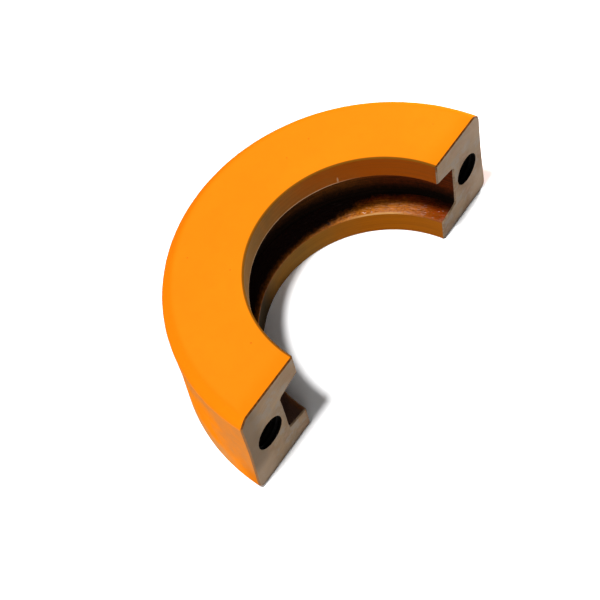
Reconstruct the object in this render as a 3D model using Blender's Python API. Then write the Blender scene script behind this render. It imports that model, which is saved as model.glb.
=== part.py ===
"""One half of a split ring clamp: a single iron casting with a tapered groove inside and two bolt holes.

Lengths are in millimetres up to the point where a mesh is made, and in metres in the scene. The part
stands on z = 0 with its joint faces towards -Y, and the origin is below the middle of its bounding box.
"""

import math

import bmesh
import bpy
from mathutils import Vector

METRES_PER_MM = 0.001

# Ring section. Radii are from the ring's axis, heights from the underside.
HEIGHT = 61.0
WALL_RADIUS = 100.0  # outer wall, just under the bevel of the top face
WAIST_RADIUS = 100.5
WAIST_HEIGHT = 35.0
FOOT_RADIUS = 102.8  # outer wall at the underside: the lower half of the wall spreads
TOP_BEVEL_WIDTH = 4.6
TOP_BEVEL_DEPTH = 4.0
UPPER_BORE_RADIUS = 60.0
LOWER_BORE_RADIUS = 61.5
UPPER_LIP_UNDERSIDE = 47.5  # at the mouth of the groove
LOWER_LIP_TOP = 14.5  # at the mouth of the groove
GROOVE_RADIUS = 74.1
GROOVE_CEILING = 44.4  # at the bottom of the groove: both flanks taper
GROOVE_FLOOR = 16.9  # at the bottom of the groove

# Corner radii of the section
BEVEL_RADIUS = 3.0
WAIST_FILLET = 180.0
FOOT_CORNER_RADIUS = 4.5
LIP_EDGE_RADIUS = 0.6
GROOVE_CORNER_RADIUS = 1.2

# Joint faces: each half stops short of the ring's diameter, so the bolts can pull the halves together
JOINT_SETBACK = 2.8

# Blind bolt holes, at half height, at right angles to the joint faces
HOLE_RADIUS = 8.65  # inner diameter of an M20 thread
HOLE_REACH = 86.0  # from the ring's axis, sideways
HOLE_HEIGHT = 31.1
HOLE_DEPTH = 22.0  # full diameter, measured from the joint face
DRILL_POINT_ANGLE = 118.0

RING_STEPS = 144
HOLE_SIDES = 48
OVERCUT = 10.0  # how far a cutter runs past the faces that it cuts

CASTING_ORANGE = (0.87, 0.245, 0.012, 1.0)


def clear_scene():
    for leftover in list(bpy.data.objects):
        bpy.data.objects.remove(leftover, do_unlink=True)


def rounded_corner(before, corner, after, radius, segments):
    """Points of the arc that touches both sides of a corner."""
    inward = (before - corner).normalized()
    outward = (after - corner).normalized()
    half_angle = inward.angle(outward) / 2
    tangent_length = radius / math.tan(half_angle)
    centre = corner + (inward + outward).normalized() * (radius / math.sin(half_angle))
    start = corner + inward * tangent_length - centre
    end = corner + outward * tangent_length - centre
    turn = start.angle_signed(end)
    points = []
    for step in range(segments + 1):
        share = turn * step / segments
        # angle_signed is clockwise, so the turn is applied clockwise too
        cos, sin = math.cos(share), math.sin(share)
        points.append(centre + Vector((start.x * cos + start.y * sin, start.y * cos - start.x * sin)))
    return points


def section_outline():
    """(radius, height) points of the ring section. They run down the outer wall first."""
    corners = [
        ((WALL_RADIUS - TOP_BEVEL_WIDTH, HEIGHT), BEVEL_RADIUS, 3),
        ((WALL_RADIUS, HEIGHT - TOP_BEVEL_DEPTH), BEVEL_RADIUS, 3),
        ((WAIST_RADIUS, WAIST_HEIGHT), WAIST_FILLET, 4),
        ((FOOT_RADIUS, 0.0), FOOT_CORNER_RADIUS, 5),
        ((LOWER_BORE_RADIUS, 0.0), LIP_EDGE_RADIUS, 2),
        ((LOWER_BORE_RADIUS, LOWER_LIP_TOP), LIP_EDGE_RADIUS, 2),
        ((GROOVE_RADIUS, GROOVE_FLOOR), GROOVE_CORNER_RADIUS, 3),
        ((GROOVE_RADIUS, GROOVE_CEILING), GROOVE_CORNER_RADIUS, 3),
        ((UPPER_BORE_RADIUS, UPPER_LIP_UNDERSIDE), LIP_EDGE_RADIUS, 2),
        ((UPPER_BORE_RADIUS, HEIGHT), LIP_EDGE_RADIUS, 2),
    ]
    places = [Vector(place) for place, _, _ in corners]
    outline = []
    for index, (_, radius, segments) in enumerate(corners):
        before, after = places[index - 1], places[(index + 1) % len(places)]
        outline += rounded_corner(before, places[index], after, radius, segments)
    return outline


def add_object(name, mesh):
    made = bpy.data.objects.new(name, mesh)
    bpy.context.scene.collection.objects.link(made)
    return made


def mark_as_cutter(cutter):
    cutter.hide_render = True
    cutter.display_type = "WIRE"
    return cutter


def ring_axis_y(outline):
    """Where the ring's axis crosses the ground, so that the origin is below the bounding box's middle."""
    widest = max(point.x for point in outline)
    return -(JOINT_SETBACK + widest) / 2


def make_ring(outline, axis_y):
    """The whole ring: its section, turned about the ring's axis by a Screw modifier."""
    mesh = bpy.data.meshes.new("clamp_half_casting")
    points = [(p.x * METRES_PER_MM, 0.0, p.y * METRES_PER_MM) for p in outline]
    count = len(points)
    mesh.from_pydata(points, [(i, (i + 1) % count) for i in range(count)], [])
    ring = add_object("clamp_half_casting", mesh)
    ring.location.y = axis_y * METRES_PER_MM
    screw = ring.modifiers.new("turned_section", "SCREW")
    screw.axis = "Z"
    screw.angle = math.tau
    screw.steps = RING_STEPS
    screw.render_steps = RING_STEPS
    screw.use_smooth_shade = True
    screw.use_merge_vertices = True
    screw.merge_threshold = 0.00001
    return ring


def make_joint_cutter(axis_y):
    """A block that takes away the other half of the ring and the gap at the joint."""
    span = 2 * (FOOT_RADIUS + OVERCUT)
    depth = FOOT_RADIUS + OVERCUT + JOINT_SETBACK
    height = HEIGHT + 2 * OVERCUT
    mesh = bpy.data.meshes.new("joint_cutter")
    shape = bmesh.new()
    bmesh.ops.create_cube(shape, size=METRES_PER_MM)
    bmesh.ops.scale(shape, vec=(span, depth, height), verts=shape.verts)
    shape.to_mesh(mesh)
    shape.free()
    cutter = add_object("joint_cutter", mesh)
    middle = Vector((0.0, axis_y + JOINT_SETBACK - depth / 2, HEIGHT / 2))
    cutter.location = middle * METRES_PER_MM
    return mark_as_cutter(cutter)


def drill_profile():
    """(radius, distance into the casting) of the drill: its shank, then its point."""
    point_length = HOLE_RADIUS / math.tan(math.radians(DRILL_POINT_ANGLE / 2))
    return [(0.0, -OVERCUT), (HOLE_RADIUS, -OVERCUT), (HOLE_RADIUS, HOLE_DEPTH), (0.0, HOLE_DEPTH + point_length)]


def make_hole_cutter(side, axis_y):
    """The drill of one bolt hole. Its object's +Z points out of the hole's mouth."""
    mesh = bpy.data.meshes.new("bolt_hole_cutter")
    shape = bmesh.new()
    profile = [shape.verts.new((r * METRES_PER_MM, 0.0, -d * METRES_PER_MM)) for r, d in drill_profile()]
    edges = [shape.edges.new(pair) for pair in zip(profile, profile[1:])]
    bmesh.ops.spin(
        shape,
        geom=profile + edges,
        cent=(0, 0, 0),
        axis=(0, 0, 1),
        angle=math.tau,
        steps=HOLE_SIDES,
        use_merge=True,
    )
    bmesh.ops.remove_doubles(shape, verts=shape.verts, dist=0.000001)
    bmesh.ops.recalc_face_normals(shape, faces=shape.faces)
    shape.to_mesh(mesh)
    shape.free()
    cutter = add_object("bolt_hole_cutter", mesh)
    mouth = Vector((side * HOLE_REACH, axis_y + JOINT_SETBACK, HOLE_HEIGHT))
    cutter.location = mouth * METRES_PER_MM
    cutter.rotation_euler.x = math.pi / 2
    return mark_as_cutter(cutter)


def cut(target, cutter, name):
    boolean = target.modifiers.new(name, "BOOLEAN")
    boolean.operation = "DIFFERENCE"
    boolean.solver = "EXACT"
    boolean.object = cutter


def paint(target):
    """Gloss orange enamel over cast iron."""
    material = bpy.data.materials.new("orange_enamel")
    material.use_nodes = True
    shader = material.node_tree.nodes["Principled BSDF"]
    shader.inputs["Base Color"].default_value = CASTING_ORANGE
    shader.inputs["Roughness"].default_value = 0.42
    shader.inputs["Metallic"].default_value = 0.0
    target.data.materials.append(material)


def main():
    clear_scene()
    outline = section_outline()
    axis_y = ring_axis_y(outline)
    casting = make_ring(outline, axis_y)
    paint(casting)
    cut(casting, make_joint_cutter(axis_y), "joint_faces")
    for side, name in ((-1, "left_bolt_hole"), (1, "right_bolt_hole")):
        cut(casting, make_hole_cutter(side, axis_y), name)


main()
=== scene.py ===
"""Looks of the clamp half: its fine mesh and seven surfaces, a white table, soft light and the camera.

The casting is built here again as one closed mesh around the CAD node's own dimensions, with rounded
edges, cast relief, broken joint edges and threaded bolt holes. Lengths are in millimetres in the ring's
own frame (its axis is the line x = y = 0) until the mesh is made, and in metres in the scene.
"""

import math
from collections import namedtuple

import bmesh
import bpy
import numpy as np
from mathutils import Euler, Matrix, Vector, noise
from mathutils.geometry import tessellate_polygon


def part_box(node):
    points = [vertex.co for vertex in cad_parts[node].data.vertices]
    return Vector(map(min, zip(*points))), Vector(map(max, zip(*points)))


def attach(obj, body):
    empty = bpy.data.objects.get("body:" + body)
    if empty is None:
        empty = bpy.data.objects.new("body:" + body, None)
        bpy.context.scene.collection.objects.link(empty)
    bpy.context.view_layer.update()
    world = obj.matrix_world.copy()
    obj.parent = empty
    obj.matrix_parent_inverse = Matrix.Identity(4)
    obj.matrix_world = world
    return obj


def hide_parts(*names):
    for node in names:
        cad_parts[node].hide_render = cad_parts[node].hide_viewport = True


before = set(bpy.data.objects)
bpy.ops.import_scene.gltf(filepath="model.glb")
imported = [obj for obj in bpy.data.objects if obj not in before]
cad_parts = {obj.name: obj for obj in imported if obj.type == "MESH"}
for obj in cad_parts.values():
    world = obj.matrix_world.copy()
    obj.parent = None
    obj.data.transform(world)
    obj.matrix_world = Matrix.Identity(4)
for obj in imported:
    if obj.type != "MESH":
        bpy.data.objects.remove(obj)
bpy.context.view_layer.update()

METRES_PER_MM = 0.001
NODE = "clamp_half_casting"

# Ring section, as in the CAD part
HEIGHT = 61.0
WALL_RADIUS = 100.0
WAIST_RADIUS = 100.5
WAIST_HEIGHT = 35.0
FOOT_RADIUS = 102.8
TOP_BEVEL_WIDTH = 4.6
TOP_BEVEL_DEPTH = 4.0
UPPER_BORE_RADIUS = 60.0
LOWER_BORE_RADIUS = 61.5
UPPER_LIP_UNDERSIDE = 47.5
LOWER_LIP_TOP = 14.5
GROOVE_RADIUS = 74.1
GROOVE_CEILING = 44.4
GROOVE_FLOOR = 16.9
JOINT_SETBACK = 2.8  # how far the joint faces stop short of the plane through the axis
HOLE_RADIUS = 8.65
HOLE_REACH = 86.0
HOLE_HEIGHT = 31.1
HOLE_DEPTH = 22.0
DRILL_POINT_ANGLE = 118.0

# What the fine mesh adds
JOINT_EDGE_BREAK = 0.7  # the filed edge round each joint face
SWEEP_STEPS = 330
SOFTENING_ROUNDS = 4
SHARP_ANGLE = 32.0
THREAD_PITCH = 2.5
THREAD_DEPTH = 1.35
THREAD_LENGTH = 19.0
THREAD_CREST = 0.25  # share of the half pitch that is flat at the crest
THREAD_FLANK = 0.6  # share of the half pitch that slopes from crest to root
THREAD_SIDES = 64
THREAD_STEPS_PER_PITCH = 12
PLAIN_MOUTH = 0.6

# Cast relief, as (share, scale, shift): broad swells, lumps and grains
RELIEF_LAYERS = (
    (0.5, 0.07, Vector((0.0, 0.0, 0.0))),
    (0.6, 0.33, Vector((7.0, 3.0, 5.0))),
    (0.35, 0.8, Vector((1.0, 9.0, 4.0))),
)

# The joint faces are the CAD box's nearest side, so they fix where the ring's axis is
RING_AXIS_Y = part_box(NODE)[0].y / METRES_PER_MM - JOINT_SETBACK

# Zones of the mesh. Each one is a material slot of the piece.
ENAMEL, MILLED, TURNED, GROOVE, FLANK, HOLE, EDGE = range(7)

Corner = namedtuple("Corner", "radius height rounding arc_steps zone spacing relief")


def section_corners():
    """The section's corners, down the outer wall first.

    A corner's zone, spacing of points and height of cast relief also hold for the run that follows it.
    """
    return (
        Corner(WALL_RADIUS - TOP_BEVEL_WIDTH, HEIGHT, 3.5, 8, ENAMEL, 0.9, 0.03),
        Corner(WALL_RADIUS, HEIGHT - TOP_BEVEL_DEPTH, 4.0, 8, ENAMEL, 1.1, 0.10),
        Corner(WAIST_RADIUS, WAIST_HEIGHT, 180.0, 10, ENAMEL, 1.1, 0.10),
        Corner(FOOT_RADIUS, 0.0, 4.5, 9, ENAMEL, 2.0, 0.03),
        Corner(LOWER_BORE_RADIUS, 0.0, 0.5, 4, TURNED, 1.0, 0.0),
        Corner(LOWER_BORE_RADIUS, LOWER_LIP_TOP, 0.8, 6, FLANK, 0.6, 0.22),
        Corner(GROOVE_RADIUS, GROOVE_FLOOR, 1.6, 5, GROOVE, 0.8, 0.30),
        Corner(GROOVE_RADIUS, GROOVE_CEILING, 1.6, 5, GROOVE, 0.8, 0.22),
        Corner(UPPER_BORE_RADIUS, UPPER_LIP_UNDERSIDE, 0.6, 5, TURNED, 1.0, 0.0),
        Corner(UPPER_BORE_RADIUS, HEIGHT, 0.45, 4, ENAMEL, 1.6, 0.03),
    )


def corner_arc(before, corner, after, radius, steps):
    """Points of the arc that touches both sides of a corner."""
    inward = (before - corner).normalized()
    outward = (after - corner).normalized()
    half_angle = inward.angle(outward) / 2
    centre = corner + (inward + outward).normalized() * (radius / math.sin(half_angle))
    tangent = radius / math.tan(half_angle)
    start = corner + inward * tangent - centre
    end = corner + outward * tangent - centre
    turn = -start.angle_signed(end)
    points = []
    for step in range(steps + 1):
        share = turn * step / steps
        cos, sin = math.cos(share), math.sin(share)
        points.append(centre + Vector((start.x * cos - start.y * sin, start.x * sin + start.y * cos)))
    return points


def section():
    """Arrays of the section's points (radius, height), outward normals, zones and cast relief heights."""
    corners = section_corners()
    places = [Vector((c.radius, c.height)) for c in corners]
    arcs = [
        corner_arc(places[i - 1], places[i], places[(i + 1) % len(places)], c.rounding, c.arc_steps)
        for i, c in enumerate(corners)
    ]
    points, zones, relief = [], [], []
    for i, c in enumerate(corners):
        run_start, run_end = arcs[i][-1], arcs[(i + 1) % len(arcs)][0]
        pieces = max(1, round((run_end - run_start).length / c.spacing))
        run = [run_start.lerp(run_end, step / pieces) for step in range(1, pieces)]
        points += arcs[i] + run
        zones += [c.zone] * (len(arcs[i]) + len(run))
        relief += [c.relief] * (len(arcs[i]) + len(run))
    points = np.array(points)
    along = np.roll(points, -1, axis=0) - np.roll(points, 1, axis=0)
    along /= np.linalg.norm(along, axis=1, keepdims=True)
    normals = np.stack([-along[:, 1], along[:, 0]], axis=1)
    return points, normals, np.array(zones), soften(np.array(relief))


def soften(values):
    """A closed list of values with its jumps spread over a few neighbours, never above the first values."""
    result = values.copy()
    for _ in range(SOFTENING_ROUNDS):
        result = np.minimum(values, (np.roll(result, 1) + result + np.roll(result, -1)) / 3)
    return result


def cast_relief(place):
    """Height of as-cast iron at a place, from about -1 to 1."""
    return sum(share * noise.noise(place * scale + shift) for share, scale, shift in RELIEF_LAYERS)


def swept_rows(points, normals, relief):
    """One row of points for each step round the half ring, from the right joint face to the left one."""
    rows = []
    inset = points - normals * JOINT_EDGE_BREAK
    rows.append(row_at(inset, JOINT_SETBACK, 0.0))
    for step in range(SWEEP_STEPS + 1):
        share = step / SWEEP_STEPS
        plain = row_at(points, JOINT_SETBACK + JOINT_EDGE_BREAK, share)
        lift = np.array([cast_relief(Vector(place)) for place in plain]) * relief
        raised = points + normals * lift[:, None]
        rows.append(row_at(raised, JOINT_SETBACK + JOINT_EDGE_BREAK, share))
    rows.append(row_at(inset, JOINT_SETBACK, 1.0))
    return rows


def row_at(points, setback, share):
    """The section's points, turned to a share of the way round. Shares 0 and 1 lie at y = setback."""
    radius, height = points[:, 0], points[:, 1]
    start = np.arcsin(setback / radius)
    angle = start + (math.pi - 2 * start) * share
    return np.stack([radius * np.cos(angle), radius * np.sin(angle), height], axis=1)


def thread_radius(turn, depth):
    """Radius of the bolt hole's wall: crests at the hole's own radius, roots cut outwards."""
    phase = (depth / THREAD_PITCH - turn / math.tau) % 1.0
    from_crest = abs(2 * phase - 1)
    cut = min(1.0, max(0.0, (from_crest - THREAD_CREST) / THREAD_FLANK))
    fade_in = min(1.0, max(0.0, (depth - PLAIN_MOUTH) / THREAD_PITCH))
    fade_out = min(1.0, max(0.0, (THREAD_LENGTH - depth) / THREAD_PITCH))
    return HOLE_RADIUS + THREAD_DEPTH * cut * fade_in * fade_out


def hole_rings(side):
    """Rings of points down one bolt hole, from the joint face to the drill point's tip."""
    depths = list(np.arange(0.0, HOLE_DEPTH, THREAD_PITCH / THREAD_STEPS_PER_PITCH))
    depths.append(HOLE_DEPTH)
    rings = []
    for depth in depths:
        ring = []
        for number in range(THREAD_SIDES):
            turn = math.tau * number / THREAD_SIDES
            radius = thread_radius(turn, depth)
            across = side * HOLE_REACH + radius * math.cos(turn)
            up = HOLE_HEIGHT + radius * math.sin(turn)
            ring.append((across, JOINT_SETBACK + depth, up))
        rings.append(np.array(ring))
    point_length = HOLE_RADIUS / math.tan(math.radians(DRILL_POINT_ANGLE / 2))
    tip = np.array([(side * HOLE_REACH, JOINT_SETBACK + HOLE_DEPTH + point_length, HOLE_HEIGHT)])
    return rings, tip


class MeshParts:
    """Collects points and faces, each face with its zone, and makes one mesh from them."""

    def __init__(self):
        self.points, self.faces, self.zones, self.count = [], [], [], 0

    def add_points(self, points):
        """Adds an array of points and returns their numbers."""
        first = self.count
        self.points.append(points)
        self.count += len(points)
        return list(range(first, self.count))

    def add_face(self, corners, zone):
        self.faces.append(corners)
        self.zones.append(zone)

    def add_band(self, ring, next_ring, zones):
        """Quads between two closed rings of the same length. zones is one zone, or one for each quad."""
        for here in range(len(ring)):
            after = (here + 1) % len(ring)
            zone = zones if isinstance(zones, int) else int(zones[here])
            self.add_face((ring[here], ring[after], next_ring[after], next_ring[here]), zone)

    def mesh(self, name):
        points = np.concatenate(self.points) + (0.0, RING_AXIS_Y, 0.0)
        made = bpy.data.meshes.new(name)
        made.from_pydata((points * METRES_PER_MM).tolist(), [], self.faces)
        for polygon, zone in zip(made.polygons, self.zones):
            polygon.material_index = zone
        shape = bmesh.new()
        shape.from_mesh(made)
        bmesh.ops.recalc_face_normals(shape, faces=shape.faces)
        shape.to_mesh(made)
        shape.free()
        made.shade_smooth()
        made.set_sharp_from_angle(angle=math.radians(SHARP_ANGLE))
        return made


def add_joint_face(parts, outline, outline_points, mouth, mouth_points):
    """The flat end, with the bolt hole left open."""
    loops = [
        [Vector((p[0], p[2], 0.0)) for p in outline_points],
        [Vector((p[0], p[2], 0.0)) for p in mouth_points],
    ]
    numbers = outline + mouth
    for triangle in tessellate_polygon(loops):
        parts.add_face(tuple(numbers[corner] for corner in triangle), MILLED)


def build_casting():
    points, normals, zones, relief = section()
    parts = MeshParts()
    rows = swept_rows(points, normals, relief)
    numbers = [parts.add_points(row) for row in rows]
    last = len(rows) - 1
    for index in range(last):
        in_edge = index in (0, last - 1)
        parts.add_band(numbers[index], numbers[index + 1], EDGE if in_edge else zones)
    for side, end in ((1, 0), (-1, last)):
        rings, tip = hole_rings(side)
        ring_numbers = [parts.add_points(ring) for ring in rings]
        add_joint_face(parts, numbers[end], rows[end], ring_numbers[0], rings[0])
        for ring, next_ring in zip(ring_numbers, ring_numbers[1:]):
            parts.add_band(ring, next_ring, HOLE)
        bottom = ring_numbers[-1]
        tip_number = parts.add_points(tip)[0]
        for here in range(THREAD_SIDES):
            parts.add_face((bottom[here], bottom[(here + 1) % THREAD_SIDES], tip_number), HOLE)
    return parts.mesh("casting")


# Materials. Their lengths are millimetres in the row frame, which differs from the ring's own only along y.

# A Mix node has sockets of one name for each kind of data, so those for colours are found by number
MIX_SHARE, MIX_COLOUR_A, MIX_COLOUR_B = 0, 6, 7
MIX_COLOUR_RESULT = 2


def rgb(red, green, blue):
    """A colour from its linear values."""
    return (red, green, blue, 1.0)


def ring_point(degrees, from_axis, height):
    """A place from its angle round the ring, counted from the right, and its distance from the axis."""
    angle = math.radians(degrees)
    return (from_axis * math.cos(angle), from_axis * math.sin(angle) + RING_AXIS_Y, height)


class Surface:
    """A Principled material with short calls for its nodes."""

    def __init__(self, name):
        self.material = bpy.data.materials.new(name)
        self.material.use_nodes = True
        self.tree = self.material.node_tree
        self.shader = self.tree.nodes["Principled BSDF"]
        place = self.tree.nodes.new("ShaderNodeTexCoord").outputs["Object"]
        self.place = self.vector("SCALE", place, Scale=1 / METRES_PER_MM)
        separate = self.node("ShaderNodeSeparateXYZ", {}, {"Vector": self.place})
        self.x, self.y, self.z = separate.outputs

    def feed(self, node, name, value):
        socket = node.inputs[name]
        if isinstance(value, bpy.types.NodeSocket):
            self.tree.links.new(value, socket)
        else:
            socket.default_value = value

    def node(self, kind, properties, inputs):
        made = self.tree.nodes.new(kind)
        for name, value in properties.items():
            setattr(made, name, value)
        for name, value in inputs.items():
            self.feed(made, name, value)
        return made

    def math(self, operation, a, b=0.0):
        return self.node("ShaderNodeMath", {"operation": operation}, {0: a, 1: b}).outputs[0]

    def plus(self, a, b):
        return self.math("ADD", a, b)

    def minus(self, a, b):
        return self.math("SUBTRACT", a, b)

    def larger(self, a, b):
        return self.math("MAXIMUM", a, b)

    def times(self, first, *others):
        """The product of all its values."""
        for other in others:
            first = self.math("MULTIPLY", first, other)
        return first

    def distance(self, a, b):
        """The length of a line that runs a one way and b across it."""
        return self.math("SQRT", self.plus(self.times(a, a), self.times(b, b)))

    def vector(self, operation, a, b=None, **inputs):
        given = {0: a, **inputs} if b is None else {0: a, 1: b, **inputs}
        made = self.node("ShaderNodeVectorMath", {"operation": operation}, given)
        return made.outputs["Value" if operation in ("LENGTH", "DISTANCE") else "Vector"]

    def join(self, x, y, z):
        return self.node("ShaderNodeCombineXYZ", {}, {"X": x, "Y": y, "Z": z}).outputs["Vector"]

    def noise(self, place, scale, detail, roughness, distortion=0.0):
        inputs = {"Vector": place, "Scale": scale, "Detail": detail, "Roughness": roughness}
        inputs["Distortion"] = distortion
        return self.node("ShaderNodeTexNoise", {}, inputs).outputs["Fac"]

    def other_noise(self, shift, scale, detail, roughness):
        """Noise read at a shift, so that it doesn't follow another noise of the same surface."""
        return self.noise(self.vector("ADD", self.place, shift), scale, detail, roughness)

    def drift(self, noise_value, width):
        """Turns a noise into a shift that spans the width, half of it either way."""
        return self.times(self.minus(noise_value, 0.5), width)

    def ramp(self, value, low, high, low_out=0.0, high_out=1.0, smooth=True):
        """Maps low..high to low_out..high_out, held at both ends."""
        inputs = {"Value": value, "From Min": low, "From Max": high, "To Min": low_out, "To Max": high_out}
        kind = {"interpolation_type": "SMOOTHSTEP" if smooth else "LINEAR"}
        return self.node("ShaderNodeMapRange", kind, inputs).outputs["Result"]

    def mix(self, share, a, b):
        """The colour a with a share of b."""
        inputs = {MIX_SHARE: share, MIX_COLOUR_A: a, MIX_COLOUR_B: b}
        return self.node("ShaderNodeMix", {"data_type": "RGBA"}, inputs).outputs[MIX_COLOUR_RESULT]

    def coats(self, colour, *coats):
        """A colour with coats over it, each one a share and a colour."""
        for share, coat in coats:
            colour = self.mix(share, colour, coat)
        return colour

    def ring_place(self):
        """Distance from the ring's axis, and length along the bore's wall from the right end."""
        from_axis = self.minus(self.y, RING_AXIS_Y)
        angle = self.math("ARCTAN2", from_axis, self.x)
        return self.distance(self.x, from_axis), self.times(angle, UPPER_BORE_RADIUS)

    def bump(self, height, distance_mm):
        inputs = {"Height": height, "Distance": distance_mm * METRES_PER_MM}
        return self.node("ShaderNodeBump", {}, inputs).outputs["Normal"]

    def finish(self, **inputs):
        for name, value in inputs.items():
            self.feed(self.shader, name.replace("_", " "), value)
        return self.material


PAINT = rgb(0.655, 0.175, 0.0045)
LIGHT_PAINT = rgb(0.69, 0.185, 0.005)
MOTTLED_PAINT = rgb(0.67, 0.162, 0.0045)
# Painted shade: a deeper copy of the paint for the bevel, also laid in a band beside the joint faces
DEEP_PAINT_AND_BEVEL_SHADE = rgb(0.69, 0.154, 0.002)
# Painted light: a lighter copy of the paint for the wall
LIT_WALL_PAINT = rgb(0.72, 0.190, 0.0025)
# Painted shade at the bottom of each end
PAINTED_END_SHADE = rgb(0.50, 0.128, 0.006)
PIT_PAINT = rgb(0.33, 0.075, 0.004)
# Painted reflection on the wall, under the bevel and near both ends
PAINTED_REFLECTION = rgb(0.49, 0.172, 0.036)
DULL_LOW_WALL = rgb(0.50, 0.205, 0.055)
DARK_RIM_BROWN = rgb(0.12, 0.046, 0.004)
SCUFFED_PAINT = rgb(0.20, 0.085, 0.014)

# Where the bevel gives way to the wall: from radius to radius
WALL_EDGE = (WALL_RADIUS - 1.5, WALL_RADIUS - 0.7)

# Small pits in the top face's paint: (degrees round the ring, distance from the axis, pit radius)
PITS = ((171.0, 96.0, 0.55), (160.0, 67.8, 0.5), (56.0, 82.0, 0.45), (66.5, 77.0, 0.4), (118.0, 88.0, 0.4))


def paint_coat(s, radius, from_joint, on_wall, mottle):
    """The paint, with painted shade on the bevel, painted light on the wall, and deeper beside the joint
    faces.
    """
    broad = s.noise(s.place, 0.022, 3.0, 0.55)
    near_joint = s.plus(from_joint, s.drift(mottle, 9.0))
    bevel_wall_and_joint_band = s.larger(s.ramp(radius, 92.5, 96.0), s.ramp(near_joint, 0.5, 10.5, 0.8, 0.0))
    return s.coats(
        s.mix(s.ramp(broad, 0.3, 0.7), PAINT, LIGHT_PAINT),
        (s.ramp(mottle, 0.35, 0.75, 0.0, 0.3), MOTTLED_PAINT),
        (s.times(bevel_wall_and_joint_band, 0.85), s.mix(on_wall, DEEP_PAINT_AND_BEVEL_SHADE, LIT_WALL_PAINT)),
    )


def wall_coats(s, radius, from_joint, on_wall, mottle):
    """Painted reflection and painted shade on the wall, and a duller orange low on it."""
    uneven = s.drift(s.other_noise((40.0, 0.0, 12.0), 0.045, 5.0, 0.66), 40.0)
    height = s.plus(s.z, uneven)
    # Painted reflection: a pale band under the bevel, weaker on the right, and near both ends
    under_bevel = s.times(s.ramp(height, 37.0, 52.0), s.ramp(s.x, 20.0, -45.0, 0.45, 1.0))
    by_end = s.times(s.ramp(s.plus(from_joint, uneven), 26.0, 10.0), s.ramp(height, 8.0, 22.0))
    painted_light_share = s.times(s.larger(under_bevel, by_end), on_wall, s.ramp(mottle, 0.3, 0.7, 0.95, 0.65))
    # Painted shade: a deeper orange at the bottom of each end
    low_end_shade = s.times(s.ramp(from_joint, 12.0, 2.0), s.ramp(height, 26.0, 12.0))
    low_end_shade = s.times(low_end_shade, s.ramp(radius, *WALL_EDGE, 0.0, 0.8))
    # A duller orange low on the wall, away from the ends and weaker on the right
    dull_low_wall = s.ramp(s.plus(s.z, s.times(uneven, 0.35)), 19.5, 9.0)
    dull_low_wall = s.times(dull_low_wall, on_wall, s.ramp(from_joint, 7.0, 24.0), s.ramp(s.x, 0.0, -60.0, 0.35, 0.95))
    return (painted_light_share, PAINTED_REFLECTION), (low_end_shade, PAINTED_END_SHADE), (dull_low_wall, DULL_LOW_WALL)


def rim_coats(s, radius, mottle):
    """Darker along the foot's edge, grime on the rim of the bore, and scuffs over the underside."""
    at_foot = s.times(s.ramp(s.z, 3.2, 1.2, 0.0, 0.75), s.ramp(radius, 96.0, 98.5))
    at_bore = s.ramp(radius, UPPER_BORE_RADIUS + 1.4, UPPER_BORE_RADIUS + 0.6, 0.0, 0.95)
    scuffs = s.times(s.ramp(s.z, 0.6, 0.2), s.ramp(mottle, 0.4, 0.62, 0.15, 0.7))
    return (s.larger(at_foot, at_bore), DARK_RIM_BROWN), (scuffs, SCUFFED_PAINT)


def paint_pits(s):
    """1 in the middle of each pit and 0 outside: a thin scatter, and the ones that PITS places."""
    scatter = s.node("ShaderNodeTexVoronoi", {"feature": "F1"}, {"Vector": s.place, "Scale": 0.06})
    depth = s.ramp(scatter.outputs["Distance"], 0.012, 0.03, 1.0, 0.0)
    for degrees, from_axis, size in PITS:
        from_centre = s.vector("DISTANCE", s.place, ring_point(degrees, from_axis, HEIGHT))
        depth = s.larger(depth, s.ramp(from_centre, 0.4 * size, 1.3 * size, 1.0, 0.0))
    return depth


def enamel():
    s = Surface("enamel")
    radius, _ = s.ring_place()
    from_joint = s.minus(s.y, RING_AXIS_Y + JOINT_SETBACK)
    on_wall = s.times(s.ramp(radius, *WALL_EDGE), s.ramp(s.z, HEIGHT - TOP_BEVEL_DEPTH, HEIGHT - 5.5))
    mottle = s.noise(s.place, 0.16, 3.0, 0.6)
    pits = paint_pits(s)
    colour = s.coats(
        paint_coat(s, radius, from_joint, on_wall, mottle),
        *wall_coats(s, radius, from_joint, on_wall, mottle),
        *rim_coats(s, radius, mottle),
        (s.times(pits, 0.5), PIT_PAINT),
    )
    peel = s.noise(s.place, 0.55, 2.0, 0.45)
    grain = s.noise(s.place, 2.2, 2.0, 0.5)
    height = s.minus(s.plus(peel, s.times(grain, 0.15)), s.times(pits, 1.5))
    # It has almost no gloss, because the white room's reflection would pale the orange at flat angles
    return s.finish(
        Base_Color=colour,
        Roughness=s.ramp(s.noise(s.place, 0.09, 4.0, 0.6), 0.3, 0.7, 0.72, 0.86),
        Normal=s.bump(height, 0.06),
        Specular_IOR_Level=0.001,
    )


# The face mill turned about a point this far below the underside, and left a mark at every turn
MILL_CENTRE_DEPTH = 160.0
MILL_MARK_SPACING = 0.9


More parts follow.
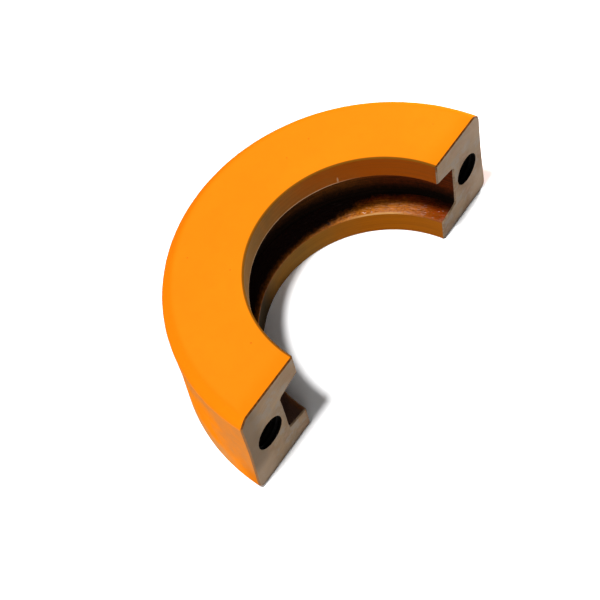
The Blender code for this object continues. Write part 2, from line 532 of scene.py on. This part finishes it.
def milled_joint():
    s = Surface("milled_joint")
    reach = s.distance(s.x, s.plus(s.z, MILL_CENTRE_DEPTH))
    marks = s.math("SINE", s.times(reach, math.tau / MILL_MARK_SPACING))
    streaks = s.noise(s.join(s.times(reach, 1.6), s.times(s.x, 0.03), 0.0), 1.0, 3.0, 0.6)
    blotch = s.noise(s.place, 0.10, 4.0, 0.6, 0.4)
    stain = s.other_noise((31.0, 17.0, 5.0), 0.055, 3.0, 0.5)
    patch = s.other_noise((9.0, 3.0, 21.0), 0.16, 4.0, 0.65)
    fleck = s.noise(s.place, 0.9, 3.0, 0.6)
    # The left face is dark outside its hole. Both faces are light low at the outside, and the right one
    # also at its outer top.
    by_left_hole = s.times(s.ramp(s.x, -85.0, -94.0), s.ramp(s.z, 12.0, 22.0), 0.8)
    low_outside = s.times(s.ramp(s.z, 26.0, 12.0), s.ramp(s.math("ABSOLUTE", s.x), 84.0, 92.0), 0.6)
    right_top = s.times(s.ramp(s.x, 84.0, 94.0), s.ramp(s.z, 44.0, 54.0, 0.15, 0.6))
    colour = s.coats(
        s.mix(s.ramp(blotch, 0.38, 0.62), rgb(0.166, 0.107, 0.055), rgb(0.226, 0.150, 0.084)),
        (s.ramp(stain, 0.42, 0.60), rgb(0.165, 0.089, 0.038)),
        (s.ramp(s.z, 38.0, 48.0, 0.0, 0.6), rgb(0.270, 0.185, 0.108)),
        (s.ramp(streaks, 0.3, 0.75, 0.0, 0.35), rgb(0.12, 0.073, 0.042)),
        (s.ramp(fleck, 0.62, 0.75, 0.0, 0.4), rgb(0.075, 0.042, 0.025)),
        (s.ramp(patch, 0.50, 0.64, 0.0, 0.6), rgb(0.190, 0.158, 0.125)),
        (s.ramp(patch, 0.44, 0.36, 0.0, 0.5), rgb(0.235, 0.135, 0.080)),
        (low_outside, rgb(0.245, 0.168, 0.105)),
        (right_top, rgb(0.27, 0.18, 0.112)),
        # Painted shade: the whole right face is a little darker, which offsets the light of the right box
        (s.ramp(s.x, 0.0, 60.0, 0.0, 0.17), rgb(0.02, 0.012, 0.006)),
        (by_left_hole, rgb(0.115, 0.073, 0.038)),
        # Painted shade along the foot, where the face meets the table
        (s.ramp(s.z, 0.3, 4.0, 0.7, 0.0), rgb(0.045, 0.032, 0.020)),
    )
    return s.finish(
        Base_Color=colour,
        Metallic=0.3,
        Roughness=s.ramp(blotch, 0.3, 0.7, 0.45, 0.6),
        Normal=s.bump(s.plus(s.times(marks, 0.3), streaks), 0.012),
        Specular_IOR_Level=0.04,
    )


NICK_DEGREES = 51.0
NICK_HEIGHT = 50.0
NICK_SHAPE = (1.0, 1.0, 0.22)  # shortens distances along z, so the nick is a tall one


def edge_highlight_and_nick(s):
    """Share of light metal: a painted highlight on the upper bore's lower edge, and one nick in it."""
    highlight_top = UPPER_LIP_UNDERSIDE + 1.2
    edge = s.times(s.ramp(s.z, highlight_top, highlight_top - 0.6), s.ramp(s.z, 30.0, 40.0))
    edge = s.times(edge, s.ramp(s.x, 48.0, 30.0, 0.0, 0.6))
    centre = ring_point(NICK_DEGREES, UPPER_BORE_RADIUS, NICK_HEIGHT)
    from_nick = s.vector("MULTIPLY", s.vector("SUBTRACT", s.place, centre), NICK_SHAPE)
    nick = s.ramp(s.vector("LENGTH", from_nick), 0.2, 0.6, 0.45, 0.0)
    return s.times(s.larger(edge, nick), 0.8)


def turned_bore():
    s = Surface("turned_bore")
    _, around = s.ring_place()
    lines = s.noise(s.join(s.times(around, 0.02), 0.0, s.times(s.z, 1.5)), 1.0, 4.0, 0.65)
    blotch = s.noise(s.place, 0.09, 3.0, 0.6, 0.3)
    metal = s.mix(s.ramp(blotch, 0.3, 0.7), rgb(0.160, 0.075, 0.013), rgb(0.210, 0.092, 0.014))
    # Overspray lies on the right of both bores. It is orange on the lower one and redder on the upper one.
    sprayed = s.ramp(s.plus(s.x, s.drift(blotch, 40.0)), -20.0, 50.0)
    low_paint = s.mix(s.ramp(s.x, 10.0, 50.0), rgb(0.165, 0.076, 0.009), rgb(0.255, 0.070, 0.001))
    paint = s.mix(s.ramp(s.z, 20.0, 40.0), low_paint, rgb(0.205, 0.040, 0.0005))
    # Painted shade: the lower bore is almost black at its far left
    far_left_shade = s.times(s.ramp(s.x, -4.0, -24.0, 0.0, 0.9), s.ramp(s.z, 30.0, 20.0))
    colour = s.coats(
        s.mix(sprayed, metal, paint),
        (s.ramp(lines, 0.35, 0.7, 0.0, 0.35), rgb(0.095, 0.035, 0.005)),
        (far_left_shade, rgb(0.02, 0.016, 0.008)),
        # A painted highlight on the upper bore's lower edge, and bare metal in the nick
        (edge_highlight_and_nick(s), rgb(0.48, 0.33, 0.20)),
    )
    return s.finish(
        Base_Color=colour,
        Metallic=s.minus(0.2, s.times(sprayed, 0.17)),
        Roughness=s.ramp(lines, 0.3, 0.7, 0.45, 0.6),
        Normal=s.bump(lines, 0.02),
        Specular_IOR_Level=0.005,
    )


def groove_skin():
    s = Surface("groove_skin")
    _, around = s.ring_place()
    lumps = s.noise(s.place, 0.35, 4.0, 0.6, 0.3)
    grains = s.noise(s.place, 1.4, 3.0, 0.6)
    streaks = s.noise(s.join(s.times(around, 0.03), 0.0, s.times(s.z, 0.8)), 1.0, 3.0, 0.6)
    # Painted shade: the groove is near black, and a red brown band under the upper lip fades to black
    # at the foot of the web and on the left
    painted_light_share = s.ramp(s.plus(s.z, s.drift(lumps, 8.0)), 19.0, 31.0)
    painted_light_share = s.times(painted_light_share, s.ramp(s.x, -45.0, 45.0, 0.15, 1.0))
    brown = s.mix(s.ramp(s.x, 50.0, 68.0), rgb(0.085, 0.024, 0.0025), rgb(0.080, 0.012, 0.001))
    colour = s.coats(
        s.mix(painted_light_share, rgb(0.004, 0.002, 0.001), brown),
        (s.ramp(streaks, 0.42, 0.62, 0.0, 0.6), rgb(0.012, 0.004, 0.001)),
        (s.ramp(grains, 0.5, 0.7, 0.0, 0.4), rgb(0.010, 0.004, 0.002)),
    )
    normal = s.bump(s.plus(lumps, s.times(grains, 0.3)), 0.3)
    return s.finish(Base_Color=colour, Roughness=0.7, Normal=normal, Specular_IOR_Level=0.02)


def lit_flank_paint(s, radius, around, uneven):
    """How far a place on the lower flank lies inside the paint's edge, and the share of paint there.

    Paint reached a narrow rim all along the mouth, and most of the flank's width on the right.
    The orange is also painted light: it lies where light reaches the flank, with painted shade past it.
    """
    edge = s.ramp(s.plus(around, s.times(uneven, 1.5)), 62.0, 38.0, 62.4, 70.5, smooth=False)
    edge = s.minus(edge, s.ramp(around, 24.0, 8.0, 0.0, 3.0))
    inside = s.minus(edge, s.plus(radius, uneven))
    fade_start = s.ramp(around, 28.0, 12.0, -2.5, -6.0)
    return inside, s.ramp(inside, fade_start, 1.5)


# The flank's wet glints lie in two clusters along the ring. Each is full up to 2 mm from its middle and
# gone at 6 mm.
GLINT_CLUSTERS = (43.0, 9.0)
GLINT_FADE = (6.0, 2.0)


def flank_roughness(s, around):
    shares = [s.ramp(s.math("ABSOLUTE", s.minus(around, middle)), *GLINT_FADE) for middle in GLINT_CLUSTERS]
    return s.ramp(s.larger(*shares), 0.0, 1.0, 0.34, 0.1)


def lower_flank():
    s = Surface("lower_flank")
    radius, around = s.ring_place()
    lumps = s.noise(s.place, 0.35, 4.0, 0.6, 0.3)
    runs = s.noise(s.join(s.times(around, 0.35), s.times(radius, 1.1), 0.0), 1.0, 3.0, 0.55)
    crust = s.noise(s.place, 0.75, 3.0, 0.6)
    inside, paint = lit_flank_paint(s, radius, around, s.drift(lumps, 5.0))
    # Painted shade: the flank past the paint is near black, and a lighter brown at the left end is painted
    # light
    flank_shade = s.mix(s.ramp(s.x, -50.0, -60.0), rgb(0.010, 0.004, 0.003), rgb(0.075, 0.036, 0.024))
    thick = s.times(s.ramp(inside, -0.5, 4.0), s.ramp(around, 4.0, 30.0, 0.1, 1.0))
    thin = s.mix(s.ramp(around, 38.0, 50.0), rgb(0.15, 0.018, 0.001), rgb(0.20, 0.060, 0.006))
    fresh = s.coats(
        s.mix(thick, thin, rgb(0.34, 0.100, 0.008)),
        (s.ramp(crust, 0.46, 0.66, 0.0, 0.5), rgb(0.085, 0.018, 0.001)),
        (s.ramp(runs, 0.48, 0.62, 0.0, 0.5), rgb(0.13, 0.034, 0.002)),
    )
    # Painted highlight: the lip's edge is lighter in the middle of the painted stretch
    painted_edge_highlight = s.times(s.ramp(radius, 62.4, 62.0), s.ramp(s.x, 35.0, 48.0), s.ramp(s.x, 59.0, 54.0, 0.1, 0.9))
    colour = s.coats(flank_shade, (paint, fresh), (painted_edge_highlight, rgb(0.42, 0.21, 0.065)))
    # Facets are drawn out along the ring, and the lip's own edge is smooth
    facets = s.noise(s.join(s.times(around, 0.35), s.times(radius, 1.0), 3.0), 1.0, 1.0, 0.5)
    height = s.times(s.plus(s.times(runs, 0.2), facets), s.ramp(radius, 61.8, 63.2, 0.15, 1.0))
    return s.finish(
        Base_Color=colour,
        Roughness=flank_roughness(s, around),
        Normal=s.bump(height, 0.5),
        Specular_IOR_Level=0.08,
    )


def hole_wall():
    s = Surface("hole_wall")
    painted_light_share = s.noise(s.place, 0.5, 3.0, 0.6)
    # Painted shade: the hole's wall is near black all the way down
    colour = s.mix(s.ramp(painted_light_share, 0.35, 0.65), rgb(0.0015, 0.001, 0.001), rgb(0.004, 0.003, 0.0025))
    return s.finish(Base_Color=colour, Roughness=0.5, Normal=s.bump(painted_light_share, 0.02), Specular_IOR_Level=0.04)


def broken_edge():
    s = Surface("broken_edge")
    radius, _ = s.ring_place()
    wear = s.noise(s.place, 0.6, 3.0, 0.6)
    worn = s.ramp(wear, 0.4, 0.65)
    metal = s.mix(worn, rgb(0.125, 0.078, 0.043), rgb(0.20, 0.13, 0.076))
    burnt = s.mix(worn, rgb(0.060, 0.020, 0.002), rgb(0.120, 0.042, 0.004))
    # The paint edge round the outside, with painted shade making it darker on the right
    outer = s.mix(s.ramp(s.x, 0.0, 60.0), rgb(0.20, 0.082, 0.018), rgb(0.07, 0.034, 0.012))
    colour = s.coats(
        metal,
        (s.ramp(radius, 94.0, 96.0), outer),
        (s.ramp(s.z, 56.0, 57.5), burnt),
        # Painted shade along the foot
        (s.ramp(s.z, 0.5, 2.5, 0.85, 0.0), rgb(0.03, 0.02, 0.012)),
    )
    return s.finish(Base_Color=colour, Roughness=0.5, Normal=s.bump(wear, 0.05), Specular_IOR_Level=0.1)


def table_top():
    s = Surface("table_top")
    cloud = s.noise(s.place, 0.004, 2.0, 0.5)
    colour = s.mix(cloud, rgb(0.93, 0.93, 0.935), rgb(0.95, 0.95, 0.95))
    return s.finish(Base_Color=colour, Roughness=0.7, Specular_IOR_Level=0.2)


# In the order of the zones
SURFACES = (enamel, milled_joint, turned_bore, groove_skin, lower_flank, hole_wall, broken_edge)


# Scene

TABLE_RADIUS = 6.0
TABLE_SIDES = 96
TABLE_DROP = 0.0001  # keeps the table clear of the underside
CAMERA_PLACE = (-0.2352, -0.2616, 0.5081)
CAMERA_TURN = (33.05, 8.81, -54.91)
CAMERA_LENS = 71.6
KEY_FROM = Vector((-0.2445, 0.029, 1.0))  # towards the main light, almost overhead
KEY_STRENGTH = 4.3
KEY_ANGLE = 6.5  # how wide the sun looks, in degrees, which softens its shadows

# Each soft box points at the origin: (name, place, size, power). The right one is low and close, and
# fades the shadow beyond the right end.
SOFT_BOXES = (
    ("front_box", Vector((-0.80, -0.98, 0.98)), 0.9, 6.5),
    ("left_box", Vector((-1.5, 0.2, 0.7)), 0.5, 6.0),
    ("right_box", Vector((0.44, 0.03, 0.14)), 0.12, 2.3),
)
ROOM_LIGHT = 0.03


def add_object(name, data):
    made = bpy.data.objects.new(name, data)
    bpy.context.scene.collection.objects.link(made)
    return made


def add_casting():
    mesh = build_casting()
    for surface in SURFACES:
        mesh.materials.append(surface())
    casting = add_object("casting", mesh)
    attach(casting, "root")
    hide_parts(NODE)


def add_table():
    shape = bmesh.new()
    bmesh.ops.create_circle(shape, cap_ends=True, radius=TABLE_RADIUS, segments=TABLE_SIDES)
    mesh = bpy.data.meshes.new("table")
    shape.to_mesh(mesh)
    shape.free()
    mesh.materials.append(table_top())
    table = add_object("table", mesh)
    table.location.z = -TABLE_DROP


def add_camera():
    data = bpy.data.cameras.new("camera")
    data.lens = CAMERA_LENS
    data.clip_start = 0.01
    camera = add_object("camera", data)
    camera.location = CAMERA_PLACE
    camera.rotation_euler = Euler([math.radians(a) for a in CAMERA_TURN])
    bpy.context.scene.camera = camera


def add_lamp(data, towards):
    """A lamp whose back is turned towards a direction, so that it shines the other way."""
    lamp = add_object(data.name, data)
    lamp.rotation_euler = towards.to_track_quat("Z", "Y").to_euler()
    return lamp


def add_lamps():
    key = bpy.data.lights.new("key", "SUN")
    key.energy = KEY_STRENGTH
    key.angle = math.radians(KEY_ANGLE)
    add_lamp(key, KEY_FROM)
    for name, place, size, power in SOFT_BOXES:
        box = bpy.data.lights.new(name, "AREA")
        box.energy = power
        box.size = size
        add_lamp(box, place).location = place


def add_room():
    world = bpy.data.worlds.new("room")
    world.use_nodes = True
    bpy.context.scene.world = world
    tree = world.node_tree
    background = tree.nodes["Background"]
    background.inputs["Color"].default_value = rgb(1.0, 1.0, 1.0)
    # The room looks white past the table's rim, and lights the scene only a little
    seen = tree.nodes.new("ShaderNodeLightPath").outputs["Is Camera Ray"]
    level = tree.nodes.new("ShaderNodeMapRange")
    tree.links.new(seen, level.inputs["Value"])
    level.inputs["To Min"].default_value = ROOM_LIGHT
    level.inputs["To Max"].default_value = 1.0
    tree.links.new(level.outputs["Result"], background.inputs["Strength"])


bpy.context.scene.view_settings.view_transform = "Standard"
add_camera()
add_casting()
add_table()
add_lamps()
add_room()
